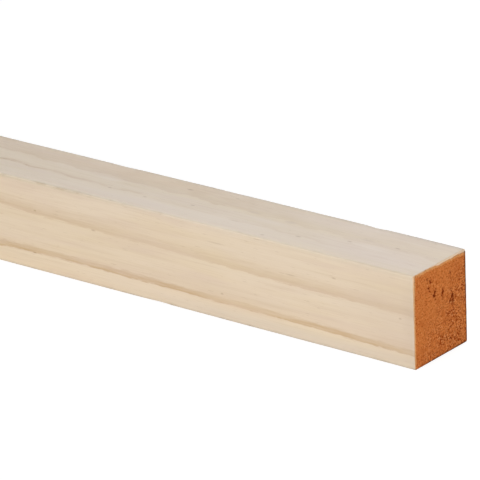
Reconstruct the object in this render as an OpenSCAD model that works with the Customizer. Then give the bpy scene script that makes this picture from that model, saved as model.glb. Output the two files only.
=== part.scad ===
// Dressed timber batten: one straight length of planed softwood, nearly square in section.
// The piece lies on its bottom face. The origin is the middle of that face.
// +X runs along the grain, towards the end that carries the colour-code paint.
// +Y runs across the narrower dimension and +Z runs up.

/* [Section] */
// Width of the planed section, across the top face
section_width = 40; // [20:0.5:80]
// Height of the planed section, up the side faces
section_height = 45; // [20:0.5:80]
// Radius that the planer leaves on the four long arrises
arris_radius = 1; // [0.2:0.1:4]

/* [Length] */
// Length between the two sawn ends
batten_length = 910; // [300:10:4000]
// Radius that handling wears on the edges of the sawn ends
end_edge_radius = 0.5; // [0.1:0.1:2]

/* [Hidden] */
// Facets of a full circle where a preview draws the rounded edges
$fn = 48;
pine_colour = "#DFCBB0";

// A rectangle about the origin whose four corners are true arcs
module rounded_rectangle(width, height, radius) {
    square([width - 2 * radius, height], center = true);
    square([width, height - 2 * radius], center = true);
    for (side = [-1, 1], level = [-1, 1])
        translate([side * (width / 2 - radius), level * (height / 2 - radius)])
            circle(r = radius);
}

// The bar as it leaves the planer: the section, eased at its corners, along the grain
module planed_bar() {
    rotate([90, 0, 90])
        linear_extrude(height = batten_length, center = true)
            rounded_rectangle(section_width, section_height, arris_radius);
}

// The plan of the piece with its end edges worn, as deep as the section is high
module worn_plan() {
    linear_extrude(height = section_height, center = true)
        rounded_rectangle(batten_length, section_width, end_edge_radius);
}

// The side view of the piece with its end edges worn, as deep as the section is wide
module worn_side() {
    rotate([90, 0, 0])
        linear_extrude(height = section_width, center = true)
            rounded_rectangle(batten_length, section_height, end_edge_radius);
}

// The batten: the planed bar, with the edges of both sawn ends worn round
module batten() {
    color(pine_colour)
        translate([0, 0, section_height / 2])
            intersection() {
                planed_bar();
                worn_plan();
                worn_side();
            }
}

batten();
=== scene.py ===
"""Looks of a planed pine batten: the wood with its growth rings, and the orange paint on one sawn end.

Shapes are worked out in timber coordinates: millimetres from the centre of the painted end,
x along the grain (negative into the piece), y across the width, z up the height.
"""
import itertools
import math
from typing import NamedTuple

import bpy
import numpy as np
from mathutils import Matrix, Vector


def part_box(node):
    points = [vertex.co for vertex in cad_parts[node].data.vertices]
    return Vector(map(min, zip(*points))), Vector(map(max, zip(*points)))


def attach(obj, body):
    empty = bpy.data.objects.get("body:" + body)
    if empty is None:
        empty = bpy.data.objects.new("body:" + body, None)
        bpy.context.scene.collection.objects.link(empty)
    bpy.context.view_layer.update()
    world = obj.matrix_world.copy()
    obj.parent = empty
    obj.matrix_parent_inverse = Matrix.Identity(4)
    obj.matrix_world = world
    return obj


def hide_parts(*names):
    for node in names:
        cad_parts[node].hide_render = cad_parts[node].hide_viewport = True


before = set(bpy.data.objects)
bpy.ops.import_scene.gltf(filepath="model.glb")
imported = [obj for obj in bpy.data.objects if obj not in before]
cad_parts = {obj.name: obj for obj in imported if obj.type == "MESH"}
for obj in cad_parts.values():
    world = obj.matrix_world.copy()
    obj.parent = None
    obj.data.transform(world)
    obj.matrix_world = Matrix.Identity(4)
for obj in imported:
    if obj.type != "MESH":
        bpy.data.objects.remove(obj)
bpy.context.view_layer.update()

# Sizes from the frame
MM = 0.001
batten_low, batten_high = (np.array(corner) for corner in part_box("batten"))
LENGTH, WIDTH, HEIGHT = (batten_high - batten_low) / MM
END_CENTRE = np.array([batten_high[0], *(batten_low + batten_high)[1:] / 2])
HALF_SECTION = np.array([WIDTH, HEIGHT]) / 2

# Edges of the planed bar and of its sawn ends, as in the solid, in mm
ARRIS_RADIUS = 1.0
END_EDGE_RADIUS = 0.5
# Steps from a flat face to the middle of a rounded edge
EDGE_STEPS = 4

# Grid of the wood's surface, in mm: long steps along the grain, short ones across it
STEP_ALONG = 3.0
STEP_ACROSS = 0.75

# Factors that scatter the cells of a lattice into repeatable numbers
SCATTER_CELLS = np.array([12.9898, 78.233, 37.719])
SCATTER_SEED = 4.17
SCATTER_GAIN = 43758.5453


def to_frame(points):
    """Timber coordinates in mm to the frame in metres."""
    return points * MM + END_CENTRE


def smooth_step(low, high, values):
    """0 below low and 1 above high, with an S-shaped rise between them."""
    share = np.clip((values - low) / (high - low), 0, 1)
    return share * share * (3 - 2 * share)


def lattice_random(cells, seed):
    """A repeatable number from -1 to 1 for each cell: the remainder of a large multiple of a sine."""
    mixed = cells @ SCATTER_CELLS[: cells.shape[1]] + SCATTER_SEED * seed
    return 2 * np.modf(np.abs(np.sin(mixed)) * SCATTER_GAIN)[0] - 1


def value_noise(points, cell, seed):
    """Smooth noise from -1 to 1: random values at the corners of cells, blended between them."""
    scaled = points / np.array(cell)
    corner = np.floor(scaled)
    share = smooth_step(0, 1, scaled - corner)
    total = np.zeros(len(points))
    for step in itertools.product((0, 1), repeat=points.shape[1]):
        step = np.array(step)
        weight = np.where(step, share, 1 - share).prod(axis=1)
        total += weight * lattice_random(corner + step, seed)
    return total


# Growth rings: where the pith ran at one station along the grain, in mm from the section's centre,
# and how it leans
PITH_STATION = -250.0
PITH_FROM_CENTRE = np.array([30.0, 60.0])
PITH_LEAN = np.array([-0.010, -0.008])
# Two swells in the rings: station along the grain and reach to each side, in mm
SWELLS = ((-75.0, 65.0), (-262.0, 25.0))
# Slow waves in the rings: size in mm along x, y and z, height in mm, and seed
RING_WAVES = (((140, 30, 30), 0.6, 3), ((30, 9, 9), 0.22, 5))
# The inner years lie almost flat under the top face, where small waves show as scallops: arches
# between cusps, their length and height in mm, how far the cusps wander along the grain, and uneven
# waves over them
ARCH_LENGTH = 26.0
ARCH_HEIGHT = 1.1
ARCH_MEAN = 2 / math.pi
CUSP_WANDER = 9.0
CUSP_WANDER_SIZE = (70, 14, 14)
SCALLOP_SIZE = (24, 6, 6)
SCALLOP_HEIGHT = 0.6
# Radii in mm between which the scallops die away
SCALLOPED_TO, SMOOTH_FROM = 52.0, 64.0
# Patches in which the dark wood is stronger or weaker: size in mm along x, y and z, and change
PATCH_SIZE = (70, 12, 12)
PATCH_CHANGE = 0.2
# Gaps that break the dark wood up: size in mm, and the noise values at which a gap starts and is whole
GAP_SIZE = (9, 5, 5)
GAP_FROM, GAP_WHOLE = -0.1, 0.45
# The gaps come in between these two places along the grain, by x in mm
UNBROKEN_TO, BROKEN_FROM = -240.0, -200.0
# Distances in mm from the paint at which each year's strengths are given
STRENGTH_STATIONS = (50.0, 145.0, 230.0)


class Year(NamedTuple):
    """One year's wood, by radius from the pith in mm."""

    ends: float
    swells: tuple  # how far each swell draws the year's end towards the pith, in mm
    strengths: tuple  # of its dark wood at the strength stations
    broken: float  # share of its strength that the gaps take
    darkens: tuple  # pairs of mm before the year ends and tone, from 0 for pale to 1 for dark


YEARS = (
    Year(44.1, (0.0, 0.0), (0.50, 0.95, 1.0), 0.3, ((9.0, 0.36), (4.0, 0.42), (1.5, 0.50), (0.3, 0.62))),
    Year(50.8, (-0.8, 0.0), (0.50, 0.75, 1.8), 0.95, ((1.9, 0.05), (1.0, 0.24), (0.2, 0.66))),
    Year(62.0, (0.0, 0.0), (0.20, 0.25, 0.3), 0.5, ((4.0, 0.05), (1.2, 0.12), (0.2, 0.26))),
    Year(73.1, (-0.3, 1.3), (0.85, 0.72, 1.0), 0.0, ((5.2, 0.07), (2.9, 0.30), (1.2, 0.60), (0.2, 0.66))),
    Year(88.4, (0.7, -2.5), (0.85, 0.90, 1.0), 0.0, ((6.5, 0.07), (2.9, 0.18), (2.0, 0.72), (0.2, 1.0))),
    Year(101.0, (0.0, 0.0), (0.9, 0.95, 1.0), 0.0, ((6.0, 0.09), (2.2, 0.3), (0.2, 0.9))),
)
YEAR_ENDS = [year.ends for year in YEARS]
# Width in mm over which one year's dark wood gives way to the next year's pale wood
YEAR_CHANGE = 0.35
# Radii in mm that the scale of ring tones runs between
RINGS_FROM, RINGS_TO = 28.0, 118.0


def ring_radius(points):
    """Distance from the leaning pith in mm, bent by swells, scallops in the inner years and slow waves."""
    pith = PITH_FROM_CENTRE + (points[:, :1] - PITH_STATION) * PITH_LEAN
    radius = np.linalg.norm(points[:, 1:] - pith, axis=1)
    bend = np.zeros(len(points))
    for k, (station, length) in enumerate(SWELLS):
        swelling = np.exp(-(((points[:, 0] - station) / length) ** 2))
        bend += swelling * np.interp(radius, YEAR_ENDS, [year.swells[k] for year in YEARS])
    scalloped = 1 - smooth_step(SCALLOPED_TO, SMOOTH_FROM, radius)
    wandered = points[:, 0] + CUSP_WANDER * value_noise(points, CUSP_WANDER_SIZE, seed=8)
    arches = np.abs(np.sin(math.pi * wandered / ARCH_LENGTH)) - ARCH_MEAN
    waves = value_noise(points, SCALLOP_SIZE, seed=7)
    bend += scalloped * (ARCH_HEIGHT * arches + SCALLOP_HEIGHT * waves)
    for size, height, seed in RING_WAVES:
        bend += height * value_noise(points, size, seed)
    return radius + bend


def ring_strength(points, radius):
    """How strongly each year's dark wood shows: its strength at the stations, with patches and gaps.

    The strength is steady while a year darkens and goes over to the next year's while that one is pale.
    """
    turns = [radius_mm for year in YEARS for radius_mm in (year.ends - year.darkens[0][0], year.ends)]
    kinds = np.repeat([(*year.strengths, year.broken) for year in YEARS], 2, axis=0)
    *by_station, broken = (np.interp(radius, turns, kind) for kind in kinds.T)
    order = np.arange(len(STRENGTH_STATIONS))
    station = np.interp(-points[:, 0], STRENGTH_STATIONS, order)
    nearness = np.maximum(1 - np.abs(station - order[:, None]), 0)
    patches = 1 + PATCH_CHANGE * value_noise(points, PATCH_SIZE, seed=9)
    broken = broken * smooth_step(UNBROKEN_TO, BROKEN_FROM, points[:, 0])
    gaps = 1 - broken * smooth_step(GAP_FROM, GAP_WHOLE, value_noise(points, GAP_SIZE, seed=13))
    return (nearness * by_station).sum(axis=0) * patches * gaps


def late_tones():
    """Rows of radius and tone for all years: each darkens by its pairs, and the next one starts pale."""
    rows = []
    for year in YEARS:
        rows += [(year.ends - before, tone) for before, tone in year.darkens]
        rows.append((year.ends + YEAR_CHANGE - year.darkens[-1][0], 0.0))
    return np.array(rows)


# Surfaces on a lattice

LOW_END, HIGH_END, FRONT, BACK, BOTTOM, TOP = range(6)


def block_lattice(cells):
    """The skin of a block of cells: its lattice points, each once, and the quads of its six sides.

    The quads face outwards. Sides come in the order -x, +x, -y, +y, -z, +z, and the third result is each
    quad's side, from 0 to 5.
    """
    counts = np.array(cells) + 1
    quads, sides = [], []
    for axis in range(3):
        across, along = (axis + 1) % 3, (axis + 2) % 3
        u, v = np.meshgrid(np.arange(cells[across]), np.arange(cells[along]), indexing="ij")
        for end in (0, 1):
            corners = []
            for step_u, step_v in ((0, 0), (1, 0), (1, 1), (0, 1)):
                place = [None, None, None]
                place[axis] = np.full(u.shape, end * cells[axis])
                place[across] = u + step_u
                place[along] = v + step_v
                corners.append(np.ravel_multi_index(place, counts).ravel())
            quads.append(np.stack(corners if end else corners[::-1], axis=1))
            sides.append(np.full(u.size, 2 * axis + end))
    used, quads = np.unique(np.concatenate(quads), return_inverse=True)
    lattice = np.stack(np.unravel_index(used, counts), axis=1)
    return lattice, quads.reshape(-1, 4), np.concatenate(sides)


def stations(low, high, radius, step):
    """Coordinates from low to high: even steps over the flat, equal angles over the rounded edges."""
    flat = np.linspace(low + radius, high - radius, 2 * int(round((high - low) / step / 2)) + 1)
    turn = radius * np.tan(np.linspace(0, math.pi / 4, EDGE_STEPS + 1)[1:])
    return np.concatenate([low + radius - turn[::-1], flat, high - radius + turn])


def round_corners(section, half, radius):
    """Turns square corners into arcs: past the inner rectangle, the larger side becomes the length."""
    past = section - np.clip(section, radius - half, half - radius)
    reach = np.abs(past).max(axis=1)
    length = np.linalg.norm(past, axis=1)
    share = np.divide(reach, length, out=np.ones_like(reach), where=length > 0)
    return section - past * (1 - share)[:, None]


def depth_in_section(section):
    """How far points lie inside the rounded outline of the section, in mm."""
    past = np.abs(section) - (HALF_SECTION - ARRIS_RADIUS)
    return ARRIS_RADIUS - np.linalg.norm(np.maximum(past, 0), axis=1) - np.minimum(past.max(axis=1), 0)


def vertex_normals(points, quads):
    """Unit normals at the points: summed cross products of the diagonals of the quads that meet there."""
    first, second, third, fourth = (points[quads[:, k]] for k in range(4))
    face = np.cross(third - first, fourth - second)
    total = np.zeros_like(points)
    np.add.at(total, quads, face[:, None, :])
    return total / np.linalg.norm(total, axis=1, keepdims=True)


def new_piece(name, points, quads, attributes, bake_map, materials, slots=None):
    """A smooth mesh object at the origin from points in the frame, quads and values at the points."""
    mesh = bpy.data.meshes.new(name)
    mesh.from_pydata(points.tolist(), [], quads.tolist())
    mesh.polygons.foreach_set("use_smooth", np.ones(len(quads), bool))
    for label, values in attributes.items():
        mesh.attributes.new(label, "FLOAT", "POINT").data.foreach_set("value", values.astype(np.float32))
    mesh.uv_layers.new(name="OFBake").data.foreach_set("uv", bake_map.astype(np.float32).ravel())
    for material in materials:
        mesh.materials.append(material)
    if slots is not None:
        mesh.polygons.foreach_set("material_index", slots.astype(np.int32))
    mesh.update()
    piece = bpy.data.objects.new(name, mesh)
    bpy.context.scene.collection.objects.link(piece)
    return piece


# The planed faces: depths of raised grain and planing waves, and size of the waves, in mm
RAISED_GRAIN = 0.05
PLANING_WAVE = 0.03
PLANING_WAVE_SIZE = (70, 14, 14)
# The worn arrises: reach of the wear, depths of rub and knocks and size of the knocks, all in mm,
# and the noise values at which a knock starts and is whole
ARRIS_REACH = 1.2
ARRIS_RUB = 0.08
ARRIS_KNOCK = 0.45
KNOCK_SIZE = (16, 6, 6)
KNOCK_FROM, KNOCK_WHOLE = 0.55, 0.95
# The top front arris gets a painted sheen on its upper side, by how far its normal points up: reach in mm,
# and the share that is lost on the way from this x to the painted end
ARRIS_SHEEN_FACING = (0.35, 0.85)
ARRIS_SHEEN_REACH = 2.2
ARRIS_SHEEN_TO = -60.0
ARRIS_SHEEN_LESS = 0.5
# It is bruised only away from the painted end, by x in mm
BRUISED_TO, CLEAN_FROM = -170.0, -120.0
# The top back arris gets more painted shade than the bottom ones, a dark outline on its upper side, by
# how far its normal points up
ARRIS_SHADE_MORE = 1.6
ARRIS_SHADE_FACING = (0.75, 0.95)
# The paint stains the wood beside it that faces along the grain, and less at the top edge towards the
# back: share that is lost, the span of y over which it is, and reach down from the top, in mm
STAIN_FACING = (0.5, 0.95)
STAIN_LESS = 0.65
STAIN_FADES = (-9.0, 1.0)
STAIN_EDGE = 2.5
# The sawn ends face along the grain: pitch and slant of the saw's strokes, depths of strokes and torn
# fibres, and size of the fibres, in mm
END_FACING = (0.6, 0.95)
SAW_PITCH = 2.6
SAW_SLANT = 0.35
SAW_MARK = 0.05
TORN_FIBRE = 0.04
TORN_FIBRE_SIZE = (9, 0.9, 0.9)
# Under the paint: how far the sawn end lies back, and the hollow that holds the film's pits, with the
# distances from the outline between which it deepens, in mm
END_PLANE_BACK = 0.15
HOLLOW_DEPTH = 1.3
HOLLOW_FROM, HOLLOW_TO = 1.6, 2.4


def wood_surface():
    """The wood: a rounded section carried along the grain between two sawn ends, then worn inwards.

    In the section, square corners become arcs of the arris radius. Towards an end the section draws in
    along an arc of the end edge's radius. Depths taken off along the normal are raised grain, slow
    planing waves, knocks on the arrises, saw marks on the bare end and the hollow that the paint fills.
    Each point also gets its place in the growth rings, how far it takes a painted sheen on the top
    front arris, real bruises, painted shade along the arrises, and the paint's stain.
    """
    axes = [
        stations(-LENGTH, 0, END_EDGE_RADIUS, STEP_ALONG),
        stations(-WIDTH / 2, WIDTH / 2, ARRIS_RADIUS, STEP_ACROSS),
        stations(-HEIGHT / 2, HEIGHT / 2, ARRIS_RADIUS, STEP_ACROSS),
    ]
    lattice, quads, sides = block_lattice([len(axis) - 1 for axis in axes])
    box = np.stack([axis[lattice[:, k]] for k, axis in enumerate(axes)], axis=1)

    from_middle = box[:, 0] + LENGTH / 2
    past_end = np.maximum(np.abs(from_middle) - (LENGTH / 2 - END_EDGE_RADIUS), 0)
    inset = (np.abs(box[:, 1:]) - HALF_SECTION).max(axis=1)
    past_side = np.maximum(inset + END_EDGE_RADIUS, 0)
    reach, length = np.maximum(past_end, past_side), np.hypot(past_end, past_side)
    share = np.divide(reach, length, out=np.ones_like(reach), where=length > 0)
    drawn_in = past_side * (1 - share)
    half_here = HALF_SECTION + np.maximum(inset, -END_EDGE_RADIUS)[:, None]
    section = box[:, 1:] * (1 - drawn_in[:, None] / half_here)
    along = box[:, 0] - np.sign(from_middle) * past_end * (1 - share)
    points = np.column_stack([along, round_corners(section, HALF_SECTION, ARRIS_RADIUS)])

    normals = vertex_normals(points, quads)
    radius = ring_radius(points)
    strength = ring_strength(points, radius)
    from_sides = HALF_SECTION - np.abs(points[:, 1:])
    arris = np.exp(-((from_sides / ARRIS_REACH) ** 2).sum(axis=1))
    on_end = smooth_step(*END_FACING, np.abs(normals[:, 0]))

    early = 1 - np.interp(radius, *late_tones().T)
    planed = RAISED_GRAIN * early + PLANING_WAVE * (1 + value_noise(points, PLANING_WAVE_SIZE, seed=11))
    knock = value_noise(points, KNOCK_SIZE, seed=17)
    worn = arris * (ARRIS_RUB * (1 + knock) + ARRIS_KNOCK * smooth_step(KNOCK_FROM, KNOCK_WHOLE, knock))
    stroke = (points[:, 2] + SAW_SLANT * points[:, 1]) * 2 * math.pi / SAW_PITCH
    torn = 1 + value_noise(points, TORN_FIBRE_SIZE, seed=23)
    sawn = SAW_MARK * (1 + np.sin(stroke)) + TORN_FIBRE * torn
    deepened = smooth_step(HOLLOW_FROM, HOLLOW_TO, depth_in_section(points[:, 1:]))
    cut = np.where(from_middle > 0, END_PLANE_BACK + HOLLOW_DEPTH * deepened, sawn)
    points = points - normals * ((1 - on_end) * planed + worn + on_end * cut)[:, None]

    top_front = (points[:, 1] < 0) & (points[:, 2] > 0)
    clean = top_front * smooth_step(BRUISED_TO, CLEAN_FROM, points[:, 0])
    # Painted sheen along the upper side of the top front arris
    rubbed = np.exp(-(((points[:, 1] + WIDTH / 2) / ARRIS_SHEEN_REACH) ** 2))
    rubbed *= smooth_step(*ARRIS_SHEEN_FACING, normals[:, 2])
    rubbed *= 1 - ARRIS_SHEEN_LESS * smooth_step(ARRIS_SHEEN_TO, 0, points[:, 0])
    # Painted shade: a dark outline along the top back arris and the bottom arrises
    top_back = (points[:, 1] > 0) & (points[:, 2] > 0)
    top_arris_shade = ARRIS_SHADE_MORE * arris * smooth_step(*ARRIS_SHADE_FACING, normals[:, 2])
    soiled = np.where(top_back, top_arris_shade, arris**2 * (1 - top_front))
    stained = smooth_step(*STAIN_FACING, normals[:, 0])
    top_edge = points[:, 2] > HEIGHT / 2 - STAIN_EDGE
    stained *= 1 - STAIN_LESS * smooth_step(*STAIN_FADES, points[:, 1]) * top_edge
    slots = (sides == LOW_END).astype(int)
    values = {
        "ring_radius": radius,
        "ring_strength": strength,
        "arris": arris,
        "rubbed": rubbed,
        "bruised": arris * (1 - clean),
        "soiled": soiled,
        "stained": stained,
    }
    return to_frame(points), quads, values, wood_bake_map(box, quads, sides), slots


# Room in mm round each strip of the wood's bake map, and how much larger its ends are drawn
BAKE_GAP = 3.0
BAKE_END_SCALE = 2.0


def wood_bake_map(box, quads, sides):
    """Bake map of the wood: each long face as two half strips, one above the other, then the two ends."""
    corners = box[quads]
    size = LENGTH / 2 + 2 * BAKE_GAP
    spots = np.empty((len(quads), 4, 2))
    by_paint = corners[:, :, 0].mean(axis=1) > -LENGTH / 2
    row = BAKE_GAP
    for side, near in itertools.product((FRONT, BACK, BOTTOM, TOP), (False, True)):
        across = 2 if side in (FRONT, BACK) else 1
        half = HALF_SECTION[across - 1]
        chosen = (sides == side) & (by_paint == near)
        spots[chosen, :, 0] = BAKE_GAP + corners[chosen, :, 0] + LENGTH / (2 if near else 1)
        spots[chosen, :, 1] = row + corners[chosen, :, across] + half
        row += 2 * half + BAKE_GAP
    column = BAKE_GAP
    for side in (LOW_END, HIGH_END):
        chosen = sides == side
        place = (corners[chosen, :, 1:] + HALF_SECTION) * BAKE_END_SCALE
        spots[chosen] = place + (column, row)
        column += WIDTH * BAKE_END_SCALE + BAKE_GAP
    return spots / size


# The paint film: how far it stays short of each edge of the end, and how much of that is ragged, in mm
COAT_SHORT_LOW = np.array([0.35, 0.04])  # front, bottom
COAT_SHORT_HIGH = np.array([0.05, -0.35])  # back, top: less than nothing, before its rag and its drop
COAT_RAGGED_LOW = np.array([0.7, 0.05])
COAT_RAGGED_HIGH = np.array([0.07, 1.3])
COAT_LEAST_SHORT = 0.04
# Fine and coarse noise that make the outline ragged: size in mm, share and seed
COAT_RAGGED_NOISE = (((1.1, 1.1), 0.25, 31), ((4.5, 4.5), 0.25, 33))
# The front edge leans in by this much at the top and out at the bottom, and bows in at both, in mm
COAT_LEAN = 0.33
COAT_BOW = 0.35
# The top edge drops towards the back by this much in mm, between two shares of the half width
COAT_TOP_DROP = 1.0
COAT_TOP_DROPS = (-0.85, 0.25)
# The film's lift past the end, its lumps as size, height and seed, and the width over which it thins
# to its outline, in mm
COAT_LIFT = 0.08
COAT_LUMPS = (((2.4, 2.4), 0.05, 51), ((0.8, 0.8), 0.03, 53))
COAT_RIM = 0.3
# The film's grid in mm: steps over its face, and width of the closer rows at its outline
COAT_STEP = 0.36
COAT_EDGE_ROWS = 0.6
# The film's hidden back: how far behind the end it lies in mm, and its share of the outline
COAT_BEHIND = 1.15
COAT_BEHIND_SHARE = 0.93
# Crumbled grain: its depth and size in mm, the noise values at which it starts and is whole, and how it
# grows towards the lower back corner, by y less a share of z in mm
CRUMBLE_DEPTH = 0.18
CRUMBLE_SIZE = (0.9, 1.2)
CRUMBLE_FROM, CRUMBLE_WHOLE = 0.15, 0.8
CRUMBLE_GROWS = (-14.0, 16.0)
CRUMBLE_SLANT = 0.8
# Tears have uneven outlines and depths: how far a point strays in mm, and mean and change of the depth
TEAR_STRAY = 0.4
TEAR_STRAY_SIZE = (1.1, 1.1)
TEAR_STRAY_SEEDS = (41, 43)
TEAR_MEAN, TEAR_CHANGE = 0.9, 0.4
TEAR_CHANGE_SIZE = (1.2, 0.9)
# Depth in mm at which torn grain counts as a whole pit
PIT_DEPTH = 0.7
# The paint is dark along the back and the bottom edge, thicker paint with painted shade of the edges that
# turn away: reach in mm, and the bottom rim's least share and where it grows, by y in mm
RIM_SHADE_REACH_BACK = 1.4
RIM_SHADE_REACH_BOTTOM = 1.08
RIM_SHADE_LEAST = 0.45
RIM_SHADE_GROWS = (-20.0, -6.0)
# It is pale along the front and the top edge, thinner paint at the front and a painted highlight along the
# worn top edge: reach in mm
PALE_EDGE_REACH_FRONT = 0.6
PALE_EDGE_REACH_TOP = 1.4
# Least share of the half section, so that the middle of the end can be carried out to the outline
LEAST_SHARE = 1e-6


class Tear(NamedTuple):
    """A streak of torn grain in the end, in mm and degrees."""

    y: float
    z: float
    half_length: float
    half_width: float
    turn: float  # from upright, towards the front at the top
    depth: float


TEARS = (
    Tear(-9.2, 17.4, 0.8, 0.45, 20, 0.60),
    Tear(-9.0, 16.0, 0.8, 0.40, 0, 0.45),
    Tear(-6.8, 15.5, 1.0, 0.65, 60, 0.90),
    Tear(-8.5, 13.0, 0.7, 0.50, 40, 0.70),
    Tear(-7.8, 11.5, 0.8, 0.50, 60, 0.70),
    Tear(-3.2, 12.2, 0.7, 0.40, 60, 0.35),
    Tear(-2.5, 17.4, 0.8, 0.40, 60, 0.40),
    Tear(-3.6, 9.2, 1.3, 0.65, -10, 1.05),
    Tear(-4.4, 7.9, 1.0, 0.60, 40, 0.90),
    Tear(-3.7, 6.2, 0.8, 0.45, 0, 0.50),
    Tear(1.9, 9.3, 0.9, 0.55, 10, 0.90),
    Tear(2.3, 7.3, 1.1, 0.65, 0, 1.05),
    Tear(1.5, 6.0, 0.7, 0.45, 30, 0.65),
    Tear(2.0, 4.4, 0.9, 0.45, -10, 0.60),
    Tear(2.7, 14.3, 0.9, 0.45, -10, 0.50),
    Tear(8.0, 14.5, 1.2, 0.35, 0, 0.42),
    Tear(14.2, 14.8, 0.9, 0.40, 50, 0.45),
    Tear(16.8, 11.5, 0.9, 0.40, 60, 0.48),
    Tear(18.4, 9.6, 0.8, 0.40, 30, 0.48),
    Tear(8.5, 6.4, 1.1, 0.55, 25, 0.60),
    Tear(9.3, 3.5, 1.1, 0.60, -15, 1.00),
    Tear(7.8, 1.8, 0.8, 0.70, 60, 1.05),
    Tear(9.9, 1.2, 1.1, 0.70, 50, 0.90),
    Tear(12.5, 3.5, 0.9, 0.45, 60, 0.45),
    Tear(9.0, -4.5, 1.4, 0.50, 60, 0.45),
    Tear(12.0, -6.0, 0.9, 0.45, 60, 0.55),
    Tear(15.2, -6.6, 0.8, 0.40, 60, 0.45),
    Tear(15.4, -12.2, 0.9, 0.55, 30, 0.65),
    Tear(7.4, -11.3, 0.8, 0.45, 50, 0.50),
    Tear(4.2, -11.9, 0.9, 0.45, 50, 0.50),
    Tear(7.2, -16.3, 0.8, 0.45, 40, 0.65),
    Tear(-3.4, -8.8, 0.8, 0.40, 20, 0.40),
    Tear(-3.0, -15.0, 0.9, 0.40, 50, 0.40),
    Tear(13.4, -19.3, 1.0, 0.40, 60, 0.52),
    Tear(10.5, -17.8, 0.8, 0.45, 60, 0.45),
)


def tear_depth(section):
    """Depth of torn grain at points of the end: a bell over each streak, drawn out along its own line."""
    depth = np.zeros(len(section))
    for tear in TEARS:
        cos, sin = math.cos(math.radians(tear.turn)), math.sin(math.radians(tear.turn))
        side, rise = section[:, 0] - tear.y, section[:, 1] - tear.z
        across = (side * cos + rise * sin) / tear.half_width
        along = (rise * cos - side * sin) / tear.half_length
        depth = np.maximum(depth, tear.depth * np.exp(-(across**2) - along**2))
    return depth


def paint_surface():
    """The paint: a film over the end with a ragged outline, wrapped over the worn edges and closed behind.

    Its outline stays short of each edge of the end by its own amount, with a lean and a bow at the front
    and a drop at the top. The film follows the end plane and falls back with the worn edge's arc. Its
    lift has lumps, less the depth of the tears and of a fine crumble that grows towards the lower back
    corner. It thins to nothing at its outline.
    """
    axes = [
        np.array([0, 1]),
        stations(-WIDTH / 2, WIDTH / 2, COAT_EDGE_ROWS, COAT_STEP),
        stations(-HEIGHT / 2, HEIGHT / 2, COAT_EDGE_ROWS, COAT_STEP),
    ]
    lattice, quads, sides = block_lattice([len(axis) - 1 for axis in axes])
    grid = np.stack([axes[k][lattice[:, k]] for k in (1, 2)], axis=1)
    share = grid / HALF_SECTION
    outline = grid / np.maximum(np.abs(share).max(axis=1), LEAST_SHARE)[:, None]
    ragged = sum(part * (1 + value_noise(outline, size, seed)) for size, part, seed in COAT_RAGGED_NOISE)
    short = np.where(share < 0, COAT_SHORT_LOW, COAT_SHORT_HIGH)
    short = short + np.where(share < 0, COAT_RAGGED_LOW, COAT_RAGGED_HIGH) * ragged[:, None]
    front_short = COAT_LEAN * share[:, 1] + COAT_BOW * share[:, 1] ** 2
    top_short = COAT_TOP_DROP * smooth_step(*COAT_TOP_DROPS, share[:, 0])
    short[:, 0] += np.where(share[:, 0] < 0, front_short, 0)
    short[:, 1] += np.where(share[:, 1] > 0, top_short, 0)
    short = np.maximum(short, COAT_LEAST_SHORT)
    section = round_corners(share * (HALF_SECTION - short), HALF_SECTION, ARRIS_RADIUS)

    inside = depth_in_section(section)
    over_edge = np.maximum(END_EDGE_RADIUS - inside, 0)
    fall = END_EDGE_RADIUS - np.sqrt(np.maximum(END_EDGE_RADIUS**2 - over_edge**2, 0))
    stray = np.stack([value_noise(section, TEAR_STRAY_SIZE, seed) for seed in TEAR_STRAY_SEEDS], axis=1)
    tears = tear_depth(section + TEAR_STRAY * stray)
    tears *= TEAR_MEAN + TEAR_CHANGE * value_noise(section, TEAR_CHANGE_SIZE, seed=45)
    crumbling = smooth_step(*CRUMBLE_GROWS, section[:, 0] - CRUMBLE_SLANT * section[:, 1])
    crumble = value_noise(section, CRUMBLE_SIZE, seed=47)
    crumble = crumbling * smooth_step(CRUMBLE_FROM, CRUMBLE_WHOLE, crumble)
    lift = COAT_LIFT + sum(height * value_noise(section, size, seed) for size, height, seed in COAT_LUMPS)
    rise = smooth_step(0, COAT_RIM, (HALF_SECTION - np.abs(grid)).min(axis=1))
    sunk = smooth_step(END_EDGE_RADIUS, HOLLOW_TO, inside) * (tears + CRUMBLE_DEPTH * crumble)
    film = rise * (END_PLANE_BACK + lift - sunk) - END_PLANE_BACK - fall
    outer = lattice[:, 0] == 1
    along = np.where(outer, film, -END_PLANE_BACK - COAT_BEHIND)
    section = np.where(outer[:, None], section, section * COAT_BEHIND_SHARE)
    # Painted shade along the back and bottom edges, with thicker paint there
    back_rim_shade = np.exp(-(((HALF_SECTION[0] - grid[:, 0]) / RIM_SHADE_REACH_BACK) ** 2))
    bottom_rim_shade = np.exp(-(((HALF_SECTION[1] + grid[:, 1]) / RIM_SHADE_REACH_BOTTOM) ** 2))
    bottom_rim_shade *= RIM_SHADE_LEAST + (1 - RIM_SHADE_LEAST) * smooth_step(*RIM_SHADE_GROWS, grid[:, 0])
    from_front = (HALF_SECTION[0] + grid[:, 0]) / PALE_EDGE_REACH_FRONT
    from_top = (HALF_SECTION[1] - grid[:, 1]) / PALE_EDGE_REACH_TOP
    values = {
        "pit": np.clip(tears / PIT_DEPTH, 0, 1),
        "crumbling": crumbling,
        "rim": np.maximum(back_rim_shade, bottom_rim_shade),
        # Pale front and top edges: thinner paint, and a painted highlight along the top
        "thin": np.exp(-(np.minimum(from_front, from_top) ** 2)),
    }
    bake_map = paint_bake_map(section[quads], sides)
    return to_frame(np.column_stack([along, section])), quads, values, bake_map


# Room in mm for the film's hidden back and rim beside its outer face in the bake map
PAINT_BAKE_SIDE = 5.0


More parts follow.
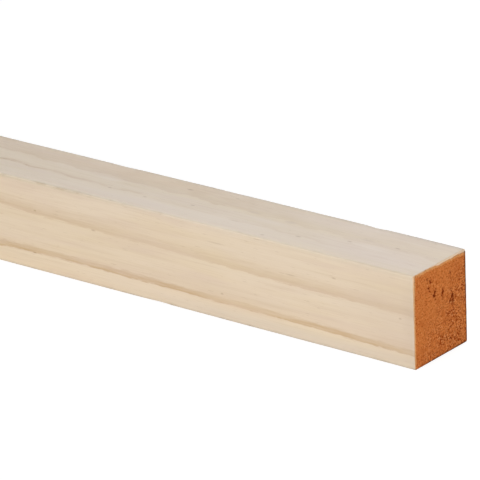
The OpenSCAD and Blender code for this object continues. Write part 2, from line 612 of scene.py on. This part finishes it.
def paint_bake_map(corners, sides):
    """Bake map of the paint: the outer face as it is, the back and rim squeezed into a strip beside it."""
    place = corners + HALF_SECTION
    strip = place * (PAINT_BAKE_SIDE / 2 / WIDTH, 1) + (WIDTH + PAINT_BAKE_SIDE / 4, 0)
    size = max(WIDTH + PAINT_BAKE_SIDE, HEIGHT)
    return np.where((sides == HIGH_END)[:, None, None], place, strip) / size


# Materials

# Sockets of a Mix node for colours
MIX_SHARE, MIX_UNDER, MIX_OVER, MIXED = 0, 6, 7, 2
# Values that nearly all of a noise texture lies between, and the middle of them, and its roughness
NOISE_SPAN = (0.25, 0.75)
NOISE_MIDDLE = (0.3, 0.7)
NOISE_ROUGHNESS = 0.55


def srgb(hex_colour):
    """An sRGB hex colour as the linear colour that the shaders use."""
    parts = [int(hex_colour[k:k + 2], 16) / 255 for k in (1, 3, 5)]
    linear = [p / 12.92 if p <= 0.04045 else ((p + 0.055) / 1.055) ** 2.4 for p in parts]
    return (*linear, 1.0)


def add(tree, kind, inputs=(), **settings):
    """Adds a node with its settings and gives its inputs, in order or by name, a value or a link each."""
    node = tree.nodes.new("ShaderNode" + kind)
    for name, value in settings.items():
        setattr(node, name, value)
    for socket, value in inputs.items() if isinstance(inputs, dict) else enumerate(inputs):
        if isinstance(value, bpy.types.NodeSocket):
            tree.links.new(value, node.inputs[socket])
        else:
            node.inputs[socket].default_value = value
    return node.outputs


def new_material(name):
    """A new material, its node tree and its Principled shader."""
    material = bpy.data.materials.new(name)
    material.use_nodes = True
    return material, material.node_tree, material.node_tree.nodes["Principled BSDF"]


def blotches(tree, size_mm, detail=2.0):
    """Noise on Object coordinates whose blotches measure size_mm along x, y and z."""
    place = add(tree, "TexCoord")["Object"]
    per_metre = [1 / (size * MM) for size in size_mm]
    scaled = add(tree, "VectorMath", [place, per_metre], operation="MULTIPLY")[0]
    noise = {"Vector": scaled, "Scale": 1.0, "Detail": detail, "Roughness": NOISE_ROUGHNESS}
    return add(tree, "TexNoise", noise)[0]


class Layer(NamedTuple):
    """Blotches of another colour that come in over a span of the noise's values."""

    size_mm: tuple
    detail: float
    low: float
    high: float
    cover: float  # most of the colour that they take
    colour: str


def lay_over(tree, colour, layers, strength=None):
    """Lays the layers on a colour one by one, all weakened by the strength where one is given."""
    for layer in layers:
        noise = blotches(tree, layer.size_mm, layer.detail)
        share = add(tree, "MapRange", [noise, layer.low, layer.high, 0.0, layer.cover])[0]
        if strength is not None:
            share = add(tree, "Math", [share, strength], operation="MULTIPLY")[0]
        mix = {MIX_SHARE: share, MIX_UNDER: colour, MIX_OVER: srgb(layer.colour)}
        colour = add(tree, "Mix", mix, data_type="RGBA")[MIXED]
    return colour


def ring_tone(tree, fray_size, fray_mm):
    """How dark the growth rings make the wood, from its ring_radius with their edges frayed by fibres."""
    radius = add(tree, "Attribute", attribute_name="ring_radius")["Fac"]
    fray = add(tree, "MapRange", [blotches(tree, fray_size), *NOISE_SPAN, -fray_mm, fray_mm])[0]
    frayed = add(tree, "Math", [radius, fray], operation="ADD")[0]
    share = add(tree, "MapRange", [frayed, RINGS_FROM, RINGS_TO, 0.0, 1.0])[0]
    tone = add(tree, "ValToRGB", [share])["Color"]
    stops = tone.node.color_ramp.elements
    stops.remove(stops[1])
    stops[0].color = (0, 0, 0, 1)
    for radius_mm, level in late_tones():
        stop = stops.new((radius_mm - RINGS_FROM) / (RINGS_TO - RINGS_FROM))
        stop.color = (level, level, level, 1)
    strength = add(tree, "Attribute", attribute_name="ring_strength")["Fac"]
    return add(tree, "Math", [tone, strength], operation="MULTIPLY")[0]


# Planed radiata pine, unsealed: cream early wood, golden late wood, fine straight fibres, a silky sheen
EARLY_WOOD = "#E7D4BB"
LATE_WOOD = "#C5A47A"
FIBRE_MM = (22, 0.5, 0.5)
FIBRE_DETAIL = 3
PINE_LAYERS = (
    Layer((90, 9, 9), 2, 0.42, 0.70, 0.45, "#E2CCA6"),  # yellower bands
    Layer((45, 6, 6), 2, 0.48, 0.75, 0.40, "#DBC2AE"),  # pinkish patches
    Layer((60, 1.8, 1.8), 2, 0.50, 0.78, 0.30, "#D0B690"),  # streaks
    # Fibres, drawn coarser than real ones so that they show
    Layer(FIBRE_MM, FIBRE_DETAIL, 0.52, 0.80, 0.25, "#C6A880"),
    Layer((7, 0.35, 0.35), 1, 0.69, 0.76, 0.40, "#A5804F"),  # resin dashes
)
# Fibres fray the edges of the rings, by size and reach in mm, and thin their dark wood, by size in mm
# and strengths
RING_FRAY_MM = (5, 0.7, 0.7)
RING_FRAY = 0.5
RING_THIN_MM = (14, 1.0, 1.0)
RING_THINNED = (0.7, 1.15)
# Fibres raise the grain a little and change its gloss, and the worn arrises are rougher
FIBRE_BUMP = 0.35
FIBRE_HEIGHT_MM = 0.04
PINE_ROUGHNESS = (0.42, 0.54)
ARRIS_ROUGHER = 0.05
PINE_IOR = 1.53
# Colour of the painted sheen on the top front arris
ARRIS_SHEEN_WOOD = "#FFEDD5"
BRUISED_WOOD = "#B7996F"
# Colour of the painted shade along the arrises
ARRIS_SHADE_WOOD = "#857F75"
STAINED_WOOD = "#DBA46A"
RESIN_FLECK = "#A27C4C"
# Dull wood, and painted shade where a fleck of it stands for shade
DULL_WOOD_AND_SHADE = "#C8B09C"
# Pale wood, and a painted sheen where a fleck of it lies on the top front arris
PALE_WOOD_AND_SHEEN = "#F2E3D6"
PINK_WOOD = "#E4D1C6"
WARM_WOOD = "#E2C4A4"
# Colour of painted shade on and beside the top front arris
GREY_ARRIS_SHADE = "#CFBDA2"
ASH_WOOD = "#C8BEAF"


class WearAndPaintedLight(NamedTuple):
    """Other wood where a value of the mesh is high, in patches that change over a span of the noise."""

    value: str
    low: float
    high: float
    cover_low: float  # share of the colour at the low end of the span
    cover_high: float
    colour: str


WEAR_AND_LIGHT_PATCH_MM = (8, 2, 2)
WEARS_AND_PAINTED_LIGHT = (
    # painted sheen on the top front arris
    WearAndPaintedLight("rubbed", 0.30, 0.60, 0.95, 0.85, ARRIS_SHEEN_WOOD),
    WearAndPaintedLight("bruised", 0.52, 0.72, 0.0, 0.50, BRUISED_WOOD),
    # painted shade along the arrises
    WearAndPaintedLight("soiled", 0.30, 0.70, 0.30, 0.55, ARRIS_SHADE_WOOD),
    WearAndPaintedLight("stained", 0.30, 0.70, 0.55, 0.95, STAINED_WOOD),
)


class Fleck(NamedTuple):
    """A spot of other wood, in timber coordinates: half length along the grain and half width in mm."""

    x: float
    y: float
    z: float
    half_length: float
    half_width: float
    cover: float
    colour: str


# A fleck fades out between these shares of its half size
FLECK_GONE, FLECK_WHOLE = 1.2, 0.2
FRONT_FACE, TOP_FACE = -WIDTH / 2, HEIGHT / 2
FLECKS = (
    Fleck(-128.0, -13.0, TOP_FACE, 90.0, 7.5, 0.42, PALE_WOOD_AND_SHEEN),
    Fleck(-25.0, -8.0, TOP_FACE, 45.0, 13.0, 0.50, PINK_WOOD),
    Fleck(0.0, WIDTH / 2, TOP_FACE, 70.0, 10.0, 0.25, DULL_WOOD_AND_SHADE),
    # painted shade along the top back edge
    Fleck(0.0, 19.0, TOP_FACE, 150.0, 2.8, 0.20, ARRIS_SHADE_WOOD),
    Fleck(-191.0, 2.0, TOP_FACE, 9.0, 2.2, 0.30, PALE_WOOD_AND_SHEEN),
    Fleck(-95.0, -1.0, TOP_FACE, 13.0, 3.2, 0.25, PALE_WOOD_AND_SHEEN),
    Fleck(-35.0, -2.0, TOP_FACE, 12.0, 3.0, 0.30, PALE_WOOD_AND_SHEEN),
    Fleck(-107.0, 4.2, TOP_FACE, 4.5, 1.4, 0.35, DULL_WOOD_AND_SHADE),
    Fleck(-85.0, 3.0, TOP_FACE, 4.0, 1.8, 0.35, DULL_WOOD_AND_SHADE),
    Fleck(-42.0, 4.0, TOP_FACE, 4.0, 1.4, 0.30, DULL_WOOD_AND_SHADE),
    # painted shade over the front's last stretch before the paint
    Fleck(0.0, FRONT_FACE, -2.0, 45.0, 26.0, 0.25, DULL_WOOD_AND_SHADE),
    Fleck(-60.0, FRONT_FACE, -20.0, 120.0, 5.0, 0.30, ASH_WOOD),
    Fleck(-110.0, FRONT_FACE, -8.5, 75.0, 4.5, 0.12, DULL_WOOD_AND_SHADE),
    # painted shade along the front's edge at the paint
    Fleck(0.0, FRONT_FACE, 0.0, 8.0, 26.0, 0.25, DULL_WOOD_AND_SHADE),
    Fleck(-215.0, FRONT_FACE, 21.0, 70.0, 2.5, 0.12, DULL_WOOD_AND_SHADE),
    # painted shade: the greyer look of a chamfered corner that the mesh does not have
    Fleck(-245.0, FRONT_FACE, TOP_FACE, 140.0, 1.7, 0.90, GREY_ARRIS_SHADE),
    # painted shade on the front side of the top front arris
    Fleck(-35.0, FRONT_FACE, 21.7, 80.0, 1.6, 0.38, GREY_ARRIS_SHADE),
    Fleck(-45.0, 13.0, TOP_FACE, 55.0, 8.0, 0.35, PINK_WOOD),
    # painted shade on the front side of the top front arris
    Fleck(-130.0, FRONT_FACE, 21.5, 60.0, 2.0, 0.15, DULL_WOOD_AND_SHADE),
    # painted sheen on the upper side of the top front arris
    Fleck(-130.0, -18.7, TOP_FACE, 65.0, 1.6, 0.25, PALE_WOOD_AND_SHEEN),
    Fleck(-185.0, 12.5, TOP_FACE, 75.0, 6.0, 0.28, WARM_WOOD),
    Fleck(-149.8, 11.3, TOP_FACE, 2.2, 0.9, 0.5, RESIN_FLECK),
    Fleck(-136.4, -3.8, TOP_FACE, 1.6, 0.7, 0.4, RESIN_FLECK),
    Fleck(-123.7, 13.8, TOP_FACE, 1.8, 0.5, 0.4, RESIN_FLECK),
    Fleck(-71.6, -8.8, TOP_FACE, 2.0, 0.8, 0.4, RESIN_FLECK),
    Fleck(-25.0, 3.3, TOP_FACE, 1.8, 0.7, 0.4, RESIN_FLECK),
    Fleck(-183.5, -6.7, TOP_FACE, 1.6, 0.7, 0.4, RESIN_FLECK),
    Fleck(-162.0, -7.1, TOP_FACE, 1.5, 0.7, 0.35, RESIN_FLECK),
    Fleck(-142.7, -19.4, TOP_FACE, 1.8, 0.9, 0.6, RESIN_FLECK),
    Fleck(-108.0, -9.0, TOP_FACE, 4.0, 0.6, 0.25, RESIN_FLECK),
    Fleck(-86.6, -15.8, TOP_FACE, 1.2, 0.9, 0.3, RESIN_FLECK),
    Fleck(-48.3, -1.3, TOP_FACE, 1.6, 0.8, 0.35, RESIN_FLECK),
    Fleck(-183.5, FRONT_FACE, 5.4, 1.6, 0.5, 0.4, RESIN_FLECK),
    Fleck(-108.0, FRONT_FACE, -9.6, 1.0, 0.5, 0.4, RESIN_FLECK),
    Fleck(-219.0, FRONT_FACE, 7.9, 1.0, 0.5, 0.5, RESIN_FLECK),
    Fleck(-220.6, FRONT_FACE, -13.6, 1.5, 0.45, 0.6, RESIN_FLECK),
    Fleck(-110.5, FRONT_FACE, 14.6, 6.5, 0.4, 0.25, RESIN_FLECK),
    Fleck(-68.0, FRONT_FACE, 8.3, 3.5, 0.4, 0.3, RESIN_FLECK),
    Fleck(-43.7, FRONT_FACE, 12.1, 1.5, 0.5, 0.35, RESIN_FLECK),
    Fleck(-7.5, FRONT_FACE, 0.8, 1.0, 0.5, 0.4, RESIN_FLECK),
)


def planed_pine():
    """The wood's material: ring tones on pale wood, layers of grain, flecks, worn and stained edges, and
    painted sheen and shade on the arrises and some flecks.
    """
    material, tree, shader = new_material("planed_pine")
    fibre = blotches(tree, FIBRE_MM, FIBRE_DETAIL)
    thin = add(tree, "MapRange", [blotches(tree, RING_THIN_MM), *NOISE_MIDDLE, *RING_THINNED])[0]
    tone = ring_tone(tree, RING_FRAY_MM, RING_FRAY)
    tone = add(tree, "Math", [tone, thin], operation="MULTIPLY", use_clamp=True)[0]
    rings = {MIX_SHARE: tone, MIX_UNDER: srgb(EARLY_WOOD), MIX_OVER: srgb(LATE_WOOD)}
    wood = add(tree, "Mix", rings, data_type="RGBA")[MIXED]
    wood = lay_over(tree, wood, PINE_LAYERS)
    place = add(tree, "TexCoord")["Object"]
    for fleck in FLECKS:
        centre = to_frame(np.array([fleck.x, fleck.y, fleck.z]))
        per_size = [1 / (size * MM) for size in (fleck.half_length, fleck.half_width, fleck.half_width)]
        offset = add(tree, "VectorMath", [place, centre], operation="SUBTRACT")[0]
        scaled = add(tree, "VectorMath", [offset, per_size], operation="MULTIPLY")[0]
        away = add(tree, "VectorMath", [scaled], operation="LENGTH")["Value"]
        fade = [away, FLECK_GONE, FLECK_WHOLE, 0.0, fleck.cover]
        share = add(tree, "MapRange", fade, interpolation_type="SMOOTHSTEP")[0]
        mix = {MIX_SHARE: share, MIX_UNDER: wood, MIX_OVER: srgb(fleck.colour)}
        wood = add(tree, "Mix", mix, data_type="RGBA")[MIXED]
    # Painted sheen, bruises, painted shade and the paint's stain, each where its value of the mesh is high
    for edge_mark in WEARS_AND_PAINTED_LIGHT:
        reach = add(tree, "Attribute", attribute_name=edge_mark.value)["Fac"]
        noise = blotches(tree, WEAR_AND_LIGHT_PATCH_MM)
        cover = [noise, edge_mark.low, edge_mark.high, edge_mark.cover_low, edge_mark.cover_high]
        patches = add(tree, "MapRange", cover)[0]
        share = add(tree, "Math", [reach, patches], operation="MULTIPLY")[0]
        mix = {MIX_SHARE: share, MIX_UNDER: wood, MIX_OVER: srgb(edge_mark.colour)}
        wood = add(tree, "Mix", mix, data_type="RGBA")[MIXED]
    relief = {"Strength": FIBRE_BUMP, "Distance": FIBRE_HEIGHT_MM * MM, "Height": fibre}
    bump = add(tree, "Bump", relief)["Normal"]
    gloss = add(tree, "MapRange", [fibre, *NOISE_MIDDLE, *PINE_ROUGHNESS])[0]
    arris = add(tree, "Attribute", attribute_name="arris")["Fac"]
    gloss = add(tree, "Math", [arris, ARRIS_ROUGHER, gloss], operation="MULTIPLY_ADD")[0]
    tree.links.new(wood, shader.inputs["Base Color"])
    tree.links.new(gloss, shader.inputs["Roughness"])
    tree.links.new(bump, shader.inputs["Normal"])
    shader.inputs["IOR"].default_value = PINE_IOR
    return material


# Sawn pine end grain, bare: cut fibres that drink light, so it is darker and duller, with clear ring arcs
SAWN_EARLY = "#D8BC92"
SAWN_LATE = "#A37947"
PORE_MM = (8, 0.55, 0.55)
PORE_DETAIL = 3
SAWN_LAYERS = (
    Layer((20, 6, 6), 2, 0.40, 0.70, 0.30, "#C9A877"),  # damp patches
    # Open pores, drawn coarser than real ones so that they show
    Layer(PORE_MM, PORE_DETAIL, 0.50, 0.75, 0.45, "#B8935F"),
)
SAWN_FRAY_MM = (8, 0.8, 0.8)
SAWN_FRAY = 0.3
PORE_BUMP = 0.6
PORE_DEPTH_MM = 0.15
SAWN_ROUGHNESS = 0.8
SAWN_SPECULAR = 0.25


def sawn_pine():
    """The bare end's material: ring tones on darker wood, with pores."""
    material, tree, shader = new_material("sawn_pine_end")
    tone = ring_tone(tree, SAWN_FRAY_MM, SAWN_FRAY)
    rings = {MIX_SHARE: tone, MIX_UNDER: srgb(SAWN_EARLY), MIX_OVER: srgb(SAWN_LATE)}
    wood = lay_over(tree, add(tree, "Mix", rings, data_type="RGBA")[MIXED], SAWN_LAYERS)
    pores = blotches(tree, PORE_MM, PORE_DETAIL)
    relief = {"Strength": PORE_BUMP, "Distance": PORE_DEPTH_MM * MM, "Height": pores}
    bump = add(tree, "Bump", relief)["Normal"]
    tree.links.new(wood, shader.inputs["Base Color"])
    tree.links.new(bump, shader.inputs["Normal"])
    shader.inputs["Roughness"].default_value = SAWN_ROUGHNESS
    shader.inputs["Specular IOR Level"].default_value = SAWN_SPECULAR
    return material


# Orange end-seal paint soaked into sawn end grain: dull and mottled, with painted glints on its grain
# tips, dark with painted shade where it lies in torn pores, dark along its thick rim with painted shade
# there too, pale where it thins out, with a painted highlight along its top edge
PAINT = "#CA763B"
PAINT_LAYERS = (
    Layer((10, 6, 6), 2, 0.38, 0.66, 0.50, "#BC6730"),  # thicker coat
    Layer((6, 3.2, 2.0), 2, 0.52, 0.68, 0.45, "#AE5823"),  # brush drag
    Layer((5, 1.1, 0.8), 1, 0.52, 0.72, 0.34, "#E6A262"),  # pale grain tips: painted glints, on tips that took less paint
    Layer((7, 1.1, 0.9), 1, 0.53, 0.66, 0.65, "#8F3C00"),  # pores, drawn coarser so that they show
)
# Crumbled grain: clusters of open pores with pale tips between them that carry painted glints, and least
# between the clusters
GRIT_LAYERS = (
    # pale tips with painted glints
    Layer((9, 1.1, 0.8), 1, 0.52, 0.68, 0.58, "#EAA66A"),
    Layer((4, 1.0, 0.85), 1, 0.50, 0.60, 0.95, "#802C00"),
    Layer((8, 2.2, 1.4), 1, 0.56, 0.68, 0.25, "#8A3A06"),
)
GRIT_CLUSTER_MM = (5, 6, 5)
GRIT_CLUSTERED = (0.38, 0.58)
GRIT_LEAST = 0.35
GRIT_MM = (6, 0.8, 0.6)
GRIT_BUMP = 0.5
GRIT_DEPTH_MM = 0.12
PAINT_ROUGHNESS = 0.8
PAINT_SPECULAR = 0.03


class PaintMark(NamedTuple):
    """Other paint that comes in over a span of a value of the mesh, up to a share of the colour."""

    value: str
    low: float
    high: float
    cover: float
    colour: str


PAINT_MARKS = (
    # dark pits: painted shade deep in the torn hollows
    PaintMark("pit", 0.26, 0.72, 0.95, "#702703"),
    # pale edges: thinner paint at the front, a painted highlight along the top
    PaintMark("thin", 0.35, 1.0, 0.75, "#DDA468"),
    # dark rim: thicker paint with painted shade of the edges that turn away
    PaintMark("rim", 0.28, 0.8, 0.9, "#643210"),
)
# Grain frays the marks: size in mm, and change of the mesh's value
MARK_FRAY_MM = (3, 1.1, 0.8)
MARK_FRAY = 0.3


def end_paint():
    """The paint's material: layers of mottle and grit with painted glints, then dark pits and a dark rim
    with painted shade, and thin paint with a painted highlight along the top edge.
    """
    material, tree, shader = new_material("orange_end_paint")
    crumbling = add(tree, "Attribute", attribute_name="crumbling")["Fac"]
    noise = blotches(tree, GRIT_CLUSTER_MM, detail=1)
    clusters = add(tree, "MapRange", [noise, *GRIT_CLUSTERED, GRIT_LEAST, 1.0])[0]
    gritty = add(tree, "Math", [crumbling, clusters], operation="MULTIPLY")[0]
    paint = lay_over(tree, srgb(PAINT), PAINT_LAYERS)
    paint = lay_over(tree, paint, GRIT_LAYERS, gritty)
    noise = blotches(tree, MARK_FRAY_MM, detail=1)
    fray = add(tree, "MapRange", [noise, *NOISE_MIDDLE, -MARK_FRAY, MARK_FRAY])[0]
    for mark in PAINT_MARKS:
        value = add(tree, "Attribute", attribute_name=mark.value)["Fac"]
        frayed = add(tree, "Math", [value, fray], operation="ADD")[0]
        share = add(tree, "MapRange", [frayed, mark.low, mark.high, 0.0, mark.cover])[0]
        mix = {MIX_SHARE: share, MIX_UNDER: paint, MIX_OVER: srgb(mark.colour)}
        paint = add(tree, "Mix", mix, data_type="RGBA")[MIXED]
    grit = blotches(tree, GRIT_MM, detail=3)
    relief = {"Strength": GRIT_BUMP, "Distance": GRIT_DEPTH_MM * MM, "Height": grit}
    bump = add(tree, "Bump", relief)["Normal"]
    tree.links.new(paint, shader.inputs["Base Color"])
    tree.links.new(bump, shader.inputs["Normal"])
    shader.inputs["Roughness"].default_value = PAINT_ROUGHNESS
    shader.inputs["Specular IOR Level"].default_value = PAINT_SPECULAR
    return material


# The two pieces

*surface, slots = wood_surface()
wood = new_piece("pine_batten", *surface, [planed_pine(), sawn_pine()], slots)
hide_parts("batten")
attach(wood, "root")

coat = new_piece("end_paint", *paint_surface(), [end_paint()])
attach(coat, "root")

# Stage: a white floor that keeps the shadow, a white world, and soft lamps

# Metres across, colour and roughness of the floor, how brightly it glows to the eye and for what share,
# and the light of the world
FLOOR_SIZE = 16.0
FLOOR_COLOUR = "#F2F2F2"
FLOOR_ROUGHNESS = 0.9
FLOOR_GLOW = 1.3
FLOOR_GLOW_SHARE = 0.68
WORLD_LIGHT = 0.1
WHITE = (1, 1, 1, 1)


def seen(tree):
    """1 for rays that look at the stage, straight or by gloss or glass, and 0 for those that light it."""
    path = add(tree, "LightPath")
    looks = add(tree, "Math", [path["Is Camera Ray"], path["Is Glossy Ray"]], operation="MAXIMUM")[0]
    return add(tree, "Math", [looks, path["Is Transmission Ray"]], operation="MAXIMUM")[0]


def white_floor():
    """A pale floor under the batten: mostly white to the eye, so that only a soft shadow shows."""
    half = FLOOR_SIZE / 2
    mesh = bpy.data.meshes.new("floor")
    corners = [(-half, -half, 0), (half, -half, 0), (half, half, 0), (-half, half, 0)]
    mesh.from_pydata(corners, [], [(0, 1, 2, 3)])
    material, tree, shader = new_material("white_floor")
    shader.inputs["Base Color"].default_value = srgb(FLOOR_COLOUR)
    shader.inputs["Roughness"].default_value = FLOOR_ROUGHNESS
    shader.inputs["Specular IOR Level"].default_value = 0.0
    glow = add(tree, "Emission", [WHITE, FLOOR_GLOW])[0]
    share = add(tree, "Math", [seen(tree), FLOOR_GLOW_SHARE], operation="MULTIPLY")[0]
    mixed = add(tree, "MixShader", [share, shader.outputs[0], glow])[0]
    tree.links.new(mixed, tree.nodes["Material Output"].inputs["Surface"])
    mesh.materials.append(material)
    floor = bpy.data.objects.new("floor", mesh)
    bpy.context.scene.collection.objects.link(floor)


def white_world():
    """A world of even light, which the eye sees as white."""
    world = bpy.data.worlds.new("studio")
    world.use_nodes = True
    tree = world.node_tree
    level = add(tree, "MapRange", [seen(tree), 0.0, 1.0, WORLD_LIGHT, 1.0])[0]
    background = tree.nodes["Background"]
    background.inputs["Color"].default_value = WHITE
    tree.links.new(level, background.inputs["Strength"])
    bpy.context.scene.world = world


class Lamp(NamedTuple):
    """A round soft lamp that looks at the painted end, in degrees and metres."""

    name: str
    azimuth: float  # 0 in front, 90 at the painted end
    elevation: float
    distance: float
    size: float
    level: float  # what it gives a white that faces it at the painted end


LAMPS = (
    Lamp("key", -20, 16, 8.0, 4.4, 0.685),
    Lamp("end_fill", 88, 14, 1.0, 0.45, 0.53),
    Lamp("top_light", 70, 60, 0.5, 0.4, 0.12),
    Lamp("back_light", 190, 15, 8.0, 4.0, 0.425),
    Lamp("sheen_light", 215, 20, 8.0, 5.0, 0.18),
)


def soft_lamp(lamp):
    """Lights the scene with a disk: its power goes with the level and with the distance squared."""
    data = bpy.data.lights.new(lamp.name, "AREA")
    data.shape = "DISK"
    data.size = lamp.size
    data.energy = lamp.level * (math.pi * lamp.distance) ** 2
    turn, rise = math.radians(lamp.azimuth), math.radians(lamp.elevation)
    towards = Vector((math.sin(turn) * math.cos(rise), -math.cos(turn) * math.cos(rise), math.sin(rise)))
    disk = bpy.data.objects.new(lamp.name, data)
    disk.visible_camera = False
    facing = towards.to_track_quat("Z", "Y").to_matrix().to_4x4()
    disk.matrix_world = Matrix.Translation(Vector(END_CENTRE) + towards * lamp.distance) @ facing
    bpy.context.scene.collection.objects.link(disk)


white_floor()
white_world()
for lamp in LAMPS:
    soft_lamp(lamp)

# Camera: the view that puts the end's corners where the photograph has them

LENS_MM = 318.0
SENSOR_MM = 36.0
VIEW_AZIMUTH, VIEW_ELEVATION, VIEW_ROLL = (math.radians(angle) for angle in (38.958, 21.466, -2.359))
# Where the painted end's centre lies from the camera: to its right, above its axis and ahead of it
END_RIGHT, END_UP, END_AWAY = 88.719 * MM, -30.711 * MM, 1876.44 * MM
# How far the camera sees, in metres
VIEW_DEPTH = 100.0


def photo_camera():
    """A long lens with its axis left of and above the painted end, turned by azimuth, elevation, roll."""
    ahead = math.cos(VIEW_ELEVATION)
    sideways, forwards = math.sin(VIEW_AZIMUTH), math.cos(VIEW_AZIMUTH)
    back = Vector((sideways * ahead, -forwards * ahead, math.sin(VIEW_ELEVATION)))
    level = Vector((forwards, sideways, 0))
    upright = back.cross(level)
    right = level * math.cos(VIEW_ROLL) + upright * math.sin(VIEW_ROLL)
    up = upright * math.cos(VIEW_ROLL) - level * math.sin(VIEW_ROLL)
    data = bpy.data.cameras.new("photo")
    data.lens = LENS_MM
    data.sensor_width = SENSOR_MM
    data.clip_end = VIEW_DEPTH
    camera = bpy.data.objects.new("photo", data)
    place = Vector(END_CENTRE) + back * END_AWAY - right * END_RIGHT - up * END_UP
    camera.matrix_world = Matrix.Translation(place) @ Matrix((right, up, back)).transposed().to_4x4()
    bpy.context.scene.collection.objects.link(camera)
    bpy.context.scene.camera = camera


photo_camera()
bpy.context.scene.view_settings.view_transform = "Standard"
